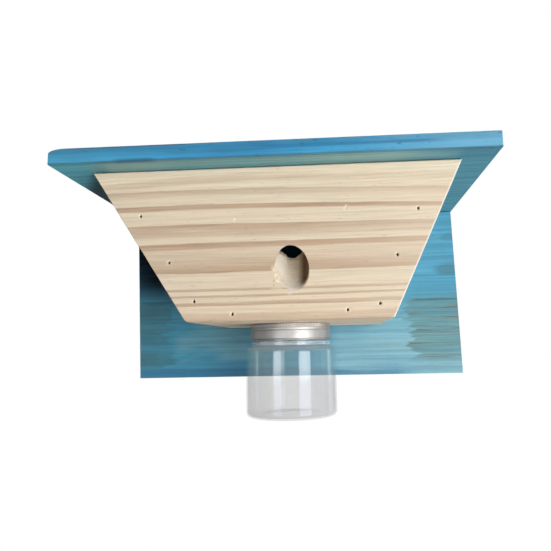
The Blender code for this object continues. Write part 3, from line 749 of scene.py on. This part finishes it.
def back_stain():
    wood = Wood("back_blue_stain", 0, 2, 1, seed=21.0)
    cloud = wood.noise(wood.stretched(22.0, 60.0, 9.0), detail=3.0)
    colour = back_ends(wood, back_blue(wood, cloud), cloud)
    for *spot, strength in BACK_SPOTS:
        colour = wood.tint(colour, (0.045, 0.130, 0.150), back_spot(wood, *spot), 0.62 * strength)
    # A painted shadow beside the box: deep blue fading out downwards, near black at the top.
    shaded = back_corner_shadow(wood)
    deep = wood.ease(wood.z, -0.014, 0.006)
    colour = wood.tint(colour, (0.018, 0.130, 0.250), shaded, deep, 0.65)
    black_shadow = wood.times(shaded, wood.ease(wood.z, -0.004, 0.016))
    colour = wood.tint(colour, (0.003, 0.006, 0.010), black_shadow, 0.98)
    material = finish_stain(wood, colour, wood.times(wood.rings(0.0075), 0.45))
    # Less gloss where the shadow is painted black.
    wood.set(Specular_IOR_Level=wood.span(black_shadow, 0.0, 1.0, STAIN_GLOSS, 0.05))
    return material


# ---------------- metal, foam and plastic

def lid_grey_and_painted_shade(shade, lines):
    """The aluminium's grey, a little darker round to the left and to the right of its front: painted
    shade for its dim reflections there.
    """
    cloud = shade.grains(160.0)
    tone = shade.span(shade.sum(shade.times(lines, 0.45), shade.times(cloud, 0.55)), 0.3, 0.7,
                      0.78, 0.98)
    turn = around_lid(shade)
    # Painted shade round to the left and to the right of the front.
    return shade.times(tone, shade.ease(turn, -2.05, -1.45, 0.58, 1.0),
                       shade.ease(turn, -0.35, -0.80, 0.62, 1.0))


def around_lid(shade):
    """The angle round the jar's axis, from the right, in radians."""
    return shade.math("ARCTAN2", shade.less(shade.y, AXIS.y), shade.less(shade.x, AXIS.x))


def turned_aluminium():
    shade = Shade("turned_aluminium")
    depth = shade.times(shade.less(UNDERSIDE, shade.z), 1000.0)
    lines = shade.noise(shade.join(0.0, 0.0, shade.times(depth, 9.0)), detail=3.0)
    tone = lid_grey_and_painted_shade(shade, lines)
    colour = shade.join(tone, tone, tone)
    # Painted shade in the lid's two grooves.
    groove_shade = shade.ramp(depth, [(5.35, 0.0), (5.65, 1.0), (5.90, 0.0), (12.5, 0.0), (12.8, 1.0),
                                (13.05, 0.0)], 0.0, 16.0)
    colour = shade.tint(colour, (0.20, 0.17, 0.16), groove_shade, 0.55)
    # Painted shade in the knurl's valleys.
    valley = shade.math("COSINE", shade.times(around_lid(shade), float(KNURL_RIBS)))
    ribbed = shade.times(shade.ease(valley, -0.1, -0.9),
                         shade.span(depth, 0.4, 0.8), shade.span(depth, 3.2, 2.8))
    colour = shade.tint(colour, (0.15, 0.13, 0.11), ribbed, 0.45)
    shade.set(Base_Color=colour, Metallic=1.0,
              Roughness=shade.span(shade.grains(160.0), 0.3, 0.7, 0.46, 0.56),
              Normal=shade.bump(lines, 0.00002))
    return shade.material


def plated_steel(name, tone, rough):
    shade = Shade(name)
    spangle = shade.grains(700.0)
    scratch = shade.grains(300.0, 2400.0, 2400.0, detail=2.0)
    dull = tuple(value * 0.72 for value in tone)
    colour = shade.mix(shade.span(spangle, 0.3, 0.7), dull, tone)
    shade.set(Base_Color=colour, Metallic=1.0,
              Roughness=shade.span(spangle, 0.3, 0.7, rough + 0.12, rough),
              Normal=shade.bump(scratch, 0.00002))
    return shade.material


def dark_nails():
    shade = Shade("set_nails")
    rust = shade.grains(1400.0)
    colour = shade.mix(shade.span(rust, 0.45, 0.65), (0.070, 0.060, 0.055), (0.110, 0.055, 0.030))
    shade.set(Base_Color=colour, Metallic=0.6,
              Roughness=shade.span(rust, 0.3, 0.7, 0.45, 0.70),
              Normal=shade.bump(rust, 0.00005))
    return shade.material


def seal_foam():
    shade = Shade("seal_foam")
    cells = shade.grains(2200.0, detail=2.0)
    colour = shade.mix(shade.span(cells, 0.35, 0.65), (0.66, 0.66, 0.64), (0.78, 0.78, 0.76))
    shade.set(Base_Color=colour, Roughness=shade.span(cells, 0.3, 0.7, 0.75, 0.9),
              Normal=shade.bump(cells, 0.00008))
    return shade.material


def blended(shade, share, first, second):
    """One shader mixed into another."""
    node = shade.add("ShaderNodeMixShader")
    for value, socket in zip((share, first, second), node.inputs):
        shade.feed(value, socket)
    return node.outputs[0]


def plastic_haze(shade, depth, upper):
    """The light that the plastic scatters, neutral at the neck, and painted bluer above than below,
    where the blue board stands behind.
    """
    haze = shade.add("ShaderNodeBsdfDiffuse")
    haze_and_painted_blue = shade.mix(upper, (0.86, 0.92, 0.96), (0.50, 0.90, 1.0))
    haze_and_painted_blue = shade.mix(shade.span(depth, 24.0, 20.0), haze_and_painted_blue, (0.76, 0.86, 0.92))
    shade.feed(haze_and_painted_blue, haze.inputs["Color"])
    return haze.outputs[0]


def plastic_gloss(shade, scuff, upper):
    """The mirror gloss over it, on a slightly wavy wall, with a painted reflection: its colour is bright
    above and dim below.
    """
    gloss = shade.add("ShaderNodeBsdfGlossy")
    # Painted reflection: the gloss colour is bright above and dim below.
    shade.feed(shade.mix(upper, (0.30, 0.33, 0.44), (0.98, 0.99, 1.0)), gloss.inputs["Color"])
    shade.feed(shade.span(scuff, 0.5, 0.8, 0.02, 0.07), gloss.inputs["Roughness"])
    flow = shade.grains(30.0, 30.0, 55.0, detail=2.0)
    shade.feed(shade.bump(flow, 0.00012), gloss.inputs["Normal"])
    return gloss.outputs[0]


def clear_plastic():
    """A thin clear wall: see-through without bending, a faint haze, and mirror gloss by Fresnel."""
    shade = Shade("clear_plastic")
    shade.tree.nodes.remove(shade.surface)
    depth = shade.times(shade.less(UNDERSIDE, shade.z), 1000.0)
    scuff = shade.grains(900.0, 900.0, 160.0)
    thick = shade.grains(60.0, 60.0, 900.0)
    # 1 where the blue back board stands behind the jar: there the haze is painted bluer and the gloss
    # brighter.
    upper = shade.ease(shade.z, -0.084, -0.068)
    clear = shade.add("ShaderNodeBsdfTransparent")
    clear.inputs["Color"].default_value = (0.958, 0.955, 0.952, 1.0)
    neck = shade.ramp(depth, [(14.4, 0.0), (15.0, 0.34), (17.6, 0.30), (18.4, 0.10), (19.6, 0.16),
                              (22.0, 0.0)], 0.0, 30.0)
    neck = shade.times(neck, shade.span(thick, 0.36, 0.62, 0.25, 1.0))
    haze_share = shade.sum(shade.span(scuff, 0.35, 0.75, 0.060, 0.090), neck)
    film = blended(shade, haze_share, clear.outputs[0], plastic_haze(shade, depth, upper))
    fresnel = shade.add("ShaderNodeFresnel")
    fresnel.inputs["IOR"].default_value = 1.58
    gloss_share = shade.math("MINIMUM", fresnel.outputs[0], 0.080)
    wall = blended(shade, gloss_share, film, plastic_gloss(shade, scuff, upper))
    output = next(node for node in shade.tree.nodes if node.type == "OUTPUT_MATERIAL")
    shade.feed(wall, output.inputs["Surface"])
    return shade.material


# ---------------- places read from the frame

def middle_of(node):
    low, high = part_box(node)
    return (low + high) / 2


ROOF_LOW, ROOF_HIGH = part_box("roof_board")
BACK_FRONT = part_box("back_board")[0].y
PANEL_LOW, PANEL_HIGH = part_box("front_panel")
PANEL_FRONT = PANEL_LOW.y
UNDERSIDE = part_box("bottom_panel")[0].z
JAR_MIDDLE = middle_of("jar")
AXIS = Vector((JAR_MIDDLE.x, JAR_MIDDLE.y, UNDERSIDE))
FRONT_NAILS = sorted(name for name in NODES
                     if "_front_nail_" in name and not name.startswith("roof"))

HOLE = Vector((0.0118, PANEL_FRONT, 0.0040))    # where the entrance's axis meets the front
HOLE_RADIUS = 0.0115
HOLE_RISE = math.radians(42)
HOLE_LEAN = math.radians(8)
DRILL_START = 0.018             # how far before the front the drill's path starts, along its axis
DRILL_LENGTH = 0.078
DENTS = ((-0.0290, 0.0403), (0.0516, 0.0465))   # X and Z of two stray dents in the front
RIGHT_FOOT = 0.0831             # X of the panel's right edge at its foot, and its slope in X over Z
RIGHT_SLOPE = 0.4738
LEFT_FOOT = -0.0663             # X of the box's left side at the underside, and its slope
LEFT_SLOPE = -0.6329
# X and Z near two of the panel's corners, and the radius of each
PANEL_CORNERS = ((-0.066, -0.033, 0.0050), (0.083, -0.033, 0.0020))


def marks():
    """X and Z of every dent and nail in the front."""
    return [*DENTS, *((middle_of(nail).x, middle_of(nail).z) for nail in FRONT_NAILS)]


# ---------------- the front panel

def lip_wear(point, spoke):
    """How far the entrance's wall lies beyond its radius, or inside it.

    Its rim is bevelled, its lip is torn at the lower left, and a burr stands at its inner end.
    """
    depth = point.y - PANEL_FRONT
    grain = noise.noise(point * 520) * 0.5 + noise.noise(point * 1300) * 0.3
    bevel = 0.0007 * (1 - smoothstep(-0.0002, 0.0011, depth))
    left = smoothstep(HOLE.x - 0.003, HOLE.x - 0.010, point.x)
    low = smoothstep(0.010, 0.002, point.z)
    torn = left * low * (1 - smoothstep(0.0, 0.0095, depth))
    fuzz = 0.00010 * (noise.noise(point * 900) + 1)
    inner = smoothstep(PANEL_HIGH.y - 0.0075, PANEL_HIGH.y - 0.0020, point.y)
    floor = smoothstep(0.15, 0.75, -spoke.z)
    flap = smoothstep(-0.28, -0.42, spoke.x)
    burr = inner * floor * (0.0011 + 0.0017 * flap) * (1 + 0.6 * noise.noise(point * 330))
    return bevel + torn * (grain + 0.55) * 0.0026 + fuzz - burr


def nail_mark(x, z, radius, depth, dish, seed):
    """A small crushed hole in the front face, taller than it is wide, in a shallow dish."""
    points = 24
    bm = bmesh.new()
    rings = []
    levels = ((-0.0004, dish * 1.15), (-0.00002, dish), (0.00012, dish * 0.75), (0.00022, radius * 1.25),
              (0.0004, radius * 1.02), (depth, radius * 0.9))
    for level, reach in levels:
        ring = []
        for step in range(points):
            angle = math.tau * step / points
            spot = Vector((math.cos(angle) + seed, math.sin(angle), reach * 300))
            uneven = reach * (1 + 0.28 * noise.noise(spot * 1.3))
            ring.append(bm.verts.new((x + uneven * math.cos(angle) * 0.9, PANEL_FRONT + level,
                                      z + uneven * math.sin(angle) * 1.15)))
        rings.append(ring)
    skin(bm, rings)
    return bm


def joined(parts):
    whole = bmesh.new()
    for part in parts:
        mesh = as_mesh("part", part)
        whole.from_mesh(mesh)
        bpy.data.meshes.remove(mesh)
    return whole


def make_front_panel():
    wood = Wood("front_pine", 0, 2, 1, seed=1.0)
    material = finish_pine(wood, panel_late_wood(wood), entrance_wood)
    outline = rounded(outline_of("front_panel"), PANEL_CORNERS)
    panel = board(outline, PANEL_LOW.y, PANEL_HIGH.y, 0.0005)
    level = Vector((-math.sin(HOLE_LEAN), math.cos(HOLE_LEAN), 0.0))
    rise = level * math.cos(HOLE_RISE) + Vector((0.0, 0.0, math.sin(HOLE_RISE)))
    parts = [drilled(HOLE - rise * DRILL_START, rise, HOLE_RADIUS, DRILL_LENGTH, lip_wear)]
    for number, nail in enumerate(FRONT_NAILS):
        middle = middle_of(nail)
        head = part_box(nail)[0].y - PANEL_FRONT
        parts.append(nail_mark(middle.x, middle.z, 0.0010, head + 0.0002, 0.0019, number * 3.1))
    for number, (x, z) in enumerate(DENTS):
        parts.append(nail_mark(x, z, 0.0006, 0.00045, 0.0022, 40 + number))
    panel = cut(panel, joined(parts))
    piece = new_piece("front_pine_panel", panel, "box", material, ("front_panel",))


def make_boards():
    plain = (("left_side_panel", "left_side_pine", 1, 2, 0, 31.0),
             ("right_side_panel", "right_side_pine", 1, 2, 0, 37.0),
             ("bottom_panel", "bottom_pine", 0, 1, 2, 43.0))
    for node, name, along, across, through, seed in plain:
        wood = Wood(name, along, across, through, seed)
        material = finish_pine(wood, wood.times(wood.rings(0.0105), 0.85))
        piece = new_piece(f"{name}_board", dressed(node), "box", material, (node,))
    for node, name, material in (("roof_board", "blue_roof", roof_stain()),
                                 ("back_board", "blue_back", back_stain())):
        piece = new_piece(name, dressed(node), "box", material, (node,))


# ---------------- lid and jar

KNURL_RIBS = 130
LID_STEPS = 780
JAR_STEPS = 144
PITCH = 0.0042
THREAD_TURNS = 1.25
THREAD_HALF = 0.00105           # half of a ridge's width at its foot
JAR_THREAD_FOOT = 0.0092
LID_THREAD_FOOT = 0.01075


def ridge(angle, height, foot):
    """The thread's rise, from 0 to 1, at an angle and a height below the underside."""
    best = 0.0
    for lap in range(2):
        turn = angle + math.tau * lap
        left = THREAD_TURNS * math.tau - turn
        if left < 0:
            continue
        middle = PITCH * turn / math.tau - foot
        fade = smoothstep(0.0, math.radians(30), min(turn, left))
        side = 1 - smoothstep(0.35 * THREAD_HALF, THREAD_HALF, abs(height - middle))
        best = max(best, fade * side)
    return best


def make_lid():
    """The ribbed lid: (radius, depth) in mm outside from the top, and inside back up again."""
    outside = [(20.0, 0.3), (33.3, 0.3), (33.9, 0.42), (34.2, 0.75), (34.3, 1.1), (34.3, 2.7),
               (34.15, 3.0), (34.1, 3.15), (34.3, 3.4), (34.45, 3.8), (34.45, 5.2), (34.3, 5.5),
               (34.15, 5.65), (34.3, 5.85), (34.5, 6.1), (34.5, 12.3), (34.3, 12.6), (34.1, 12.8),
               (34.3, 13.0), (34.65, 13.15), (34.8, 13.4), (34.8, 13.6), (34.65, 13.85),
               (34.4, 14.0), (33.9, 14.0), (33.65, 13.8), (33.65, 13.4), (33.9, 12.9)]
    inside = [(33.9, 12.9 - 0.3 * step) for step in range(1, 29)]
    inside += [(33.8, 3.7), (33.7, 3.3), (33.7, 1.3), (33.4, 0.9), (20.0, 0.9)]
    profile = [(radius * MM, -depth * MM) for radius, depth in outside + inside]

    def shape(angle, radius, height):
        if radius > 0.0341 and -0.0029 < height < -0.0006:
            radius -= 0.00022 * (1 - math.cos(KNURL_RIBS * angle))
        elif abs(radius - 0.0339) < 1e-6 and -0.0130 < height < -0.0040:
            radius -= 0.0016 * ridge(angle, height, LID_THREAD_FOOT)
        return radius

    lid = turned(profile, LID_STEPS, shape)
    bmesh.ops.translate(lid, vec=AXIS, verts=lid.verts)
    piece = new_piece("ribbed_lid", lid, "box", turned_aluminium(), ("jar_lid",), smooth=50)


def make_jar():
    """The jar, in mm below the underside: outside from the base to the rim, then inside."""
    side, depth, wall, foot, shoulder = 38.6, 77.4, 1.3, 4.5, 5.0
    foot_centre = (side - foot, foot - depth)
    shoulder_centre = (side - shoulder, -19.0 - shoulder)
    eighths = [step / 8 for step in range(9)]
    base = [(31.0 * share, 2.2 * (1 - share ** 4) - depth) for share in eighths]
    outside = base + arc(foot_centre, foot, 275, 360, 12)
    outside += arc(shoulder_centre, shoulder, 0, 90, 12)
    neck = [(32.9, -18.6), (33.6, -18.2), (33.8, -17.8), (33.8, -15.5), (33.6, -15.15),
            (33.2, -15.0), (31.5, -15.0), (31.2, -14.7)]
    neck += [(31.2, -14.7 + 0.28 * step) for step in range(1, 41)]
    neck += [(31.1, -2.75), (30.8, -2.55), (30.5, -2.5), (29.6, -2.5), (29.2, -2.65),
             (29.0, -3.0), (29.0, -17.6), (29.3, -18.6)]
    inside = arc(shoulder_centre, shoulder - wall, 90, 0, 12)
    inside += arc(foot_centre, foot - wall, 360, 275, 12)
    inside += [(radius, height + wall) for radius, height in reversed(base)]
    profile = [(radius * MM, height * MM) for radius, height in outside + neck + inside]

    def shape(angle, radius, height):
        if abs(radius - 0.0312) < 1e-6 and height > -0.0149:
            radius += 0.0017 * ridge(angle, height, JAR_THREAD_FOOT)
        return radius

    jar = turned(profile, JAR_STEPS, shape, closed=False)
    bmesh.ops.translate(jar, vec=AXIS, verts=jar.verts)
    piece = new_piece("clear_jar", jar, "jar", clear_plastic(), ("jar",), smooth=60)


# ---------------- carried-over nodes

def finish_small_parts():
    nails = dark_nails()
    zinc = plated_steel("zinc_plate", (0.66, 0.67, 0.68), 0.30)
    screws = plated_steel("zinc_screws", (0.70, 0.70, 0.66), 0.26)
    foam = seal_foam()
    for name, node in NODES.items():
        if "nail" in name:
            material = nails
        elif name.endswith("hanger_plate"):
            material = zinc
        elif "screw" in name:
            material = screws
        elif name == "seal_ring":
            material = foam
        else:
            continue
        for slot in node.material_slots:
            slot.material = material


# ---------------- studio

AMBIENT = 0.04
GLOSS_LIGHT = 0.22
FLOOR_LIGHT = 0.07
FLOOR_Z = -2.2
LIGHT_AIM = Vector((0.0, -0.1, 0.0))
# Name, angle to the right of the view into the wall, height, distance, width and height of the
# box, radiance, colour, whether it lights the object, and whether it shows in its gloss
SOFTBOXES = (
    ("key_softbox", 36.0, -0.24, 1.7, 1.20, 1.20, 7.2, (1.0, 0.995, 0.98), True, False),
    ("low_softbox", 95.0, -1.35, 1.2, 1.00, 1.00, 4.8, (1.0, 1.0, 0.99), True, False),
    ("right_softbox", 39.5, -0.20, 1.7, 0.92, 1.60, 3.8, (1.0, 1.0, 1.0), False, True),
    ("left_softbox", -31.0, -0.10, 1.7, 0.64, 1.60, 2.3, (0.90, 0.96, 1.0), False, True),
    ("right_edge_softbox", 122.0, -0.10, 1.7, 0.60, 1.60, 1.5, (0.90, 1.0, 1.0), False, True),
    ("left_edge_softbox", -92.0, -0.10, 1.7, 0.20, 1.60, 0.9, (0.90, 1.0, 1.0), False, True),
    ("side_softbox", -105.0, 0.30, 1.8, 1.00, 1.20, 0.8, (1.0, 1.0, 1.0), True, False),
    ("top_softbox", 175.0, 1.60, 0.6, 1.20, 1.20, 3.0, (1.0, 1.0, 1.0), True, False),
    ("rear_softbox", 160.0, 0.10, 1.8, 1.40, 1.40, 2.6, (1.0, 1.0, 1.0), True, False),
)

CAMERA_PLACE = (0.047286, -0.571833, -0.050056)
CAMERA_TURN = (98.99995, 1.3128, 3.20163)      # degrees about X, Y and Z
CAMERA_LENS = 36.483            # mm, over a sensor 36 mm wide
CAMERA_SHIFT = (-0.0675, -0.0365)


def studio_white(tree, output, given):
    """White to the camera, GLOSS_LIGHT in reflections, and the amount given as light."""
    path = tree.nodes.new("ShaderNodeLightPath")
    shown = tree.nodes.new("ShaderNodeMapRange")
    shown.inputs["To Min"].default_value = given
    shown.inputs["To Max"].default_value = GLOSS_LIGHT
    tree.links.new(path.outputs["Is Glossy Ray"], shown.inputs["Value"])
    strength = tree.nodes.new("ShaderNodeMapRange")
    strength.inputs["To Max"].default_value = 1.0
    tree.links.new(shown.outputs[0], strength.inputs["To Min"])
    tree.links.new(path.outputs["Is Camera Ray"], strength.inputs["Value"])
    tree.links.new(strength.outputs[0], output.inputs["Strength"])


def make_softbox(name, turn, height, distance, width, tall, radiance, tint, lights, shows):
    light = bpy.data.lights.new(name, "AREA")
    light.shape = "RECTANGLE"
    light.size = width
    light.size_y = tall
    light.energy = radiance * math.pi * width * tall
    light.color = tint
    lamp = bpy.data.objects.new(name, light)
    angle = math.radians(turn)
    away = Vector((math.sin(angle) * distance, -math.cos(angle) * distance, height))
    lamp.location = LIGHT_AIM + away
    lamp.rotation_euler = (-away).to_track_quat("-Z", "Y").to_euler()
    lamp.visible_camera = False
    lamp.visible_diffuse = lights
    lamp.visible_glossy = shows
    SCENE.collection.objects.link(lamp)


def make_studio():
    world = bpy.data.worlds.new("studio")
    SCENE.world = world
    world.use_nodes = True
    background = world.node_tree.nodes["Background"]
    background.inputs["Color"].default_value = (1.0, 1.0, 1.0, 1.0)
    studio_white(world.node_tree, background, AMBIENT)

    material = bpy.data.materials.new("pale_floor")
    material.use_nodes = True
    tree = material.node_tree
    tree.nodes.remove(tree.nodes["Principled BSDF"])
    glow = tree.nodes.new("ShaderNodeEmission")
    studio_white(tree, glow, FLOOR_LIGHT)
    tree.links.new(glow.outputs[0], tree.nodes["Material Output"].inputs["Surface"])
    bm = bmesh.new()
    bmesh.ops.create_grid(bm, x_segments=2, y_segments=2, size=6.0)
    mesh = bpy.data.meshes.new("floor")
    bm.to_mesh(mesh)
    bm.free()
    mesh.materials.append(material)
    floor = bpy.data.objects.new("floor", mesh)
    floor.location = (0.0, 0.0, FLOOR_Z)
    SCENE.collection.objects.link(floor)

    for softbox in SOFTBOXES:
        make_softbox(*softbox)


def make_camera():
    data = bpy.data.cameras.new("camera")
    camera = bpy.data.objects.new("camera", data)
    SCENE.collection.objects.link(camera)
    data.sensor_width = 36.0
    data.lens = CAMERA_LENS
    data.shift_x, data.shift_y = CAMERA_SHIFT
    camera.location = CAMERA_PLACE
    camera.rotation_euler = [math.radians(turn) for turn in CAMERA_TURN]
    SCENE.camera = camera
    SCENE.view_settings.view_transform = "Standard"


def main():
    make_camera()
    make_studio()
    make_front_panel()
    make_boards()
    make_lid()
    make_jar()
    finish_small_parts()


main()
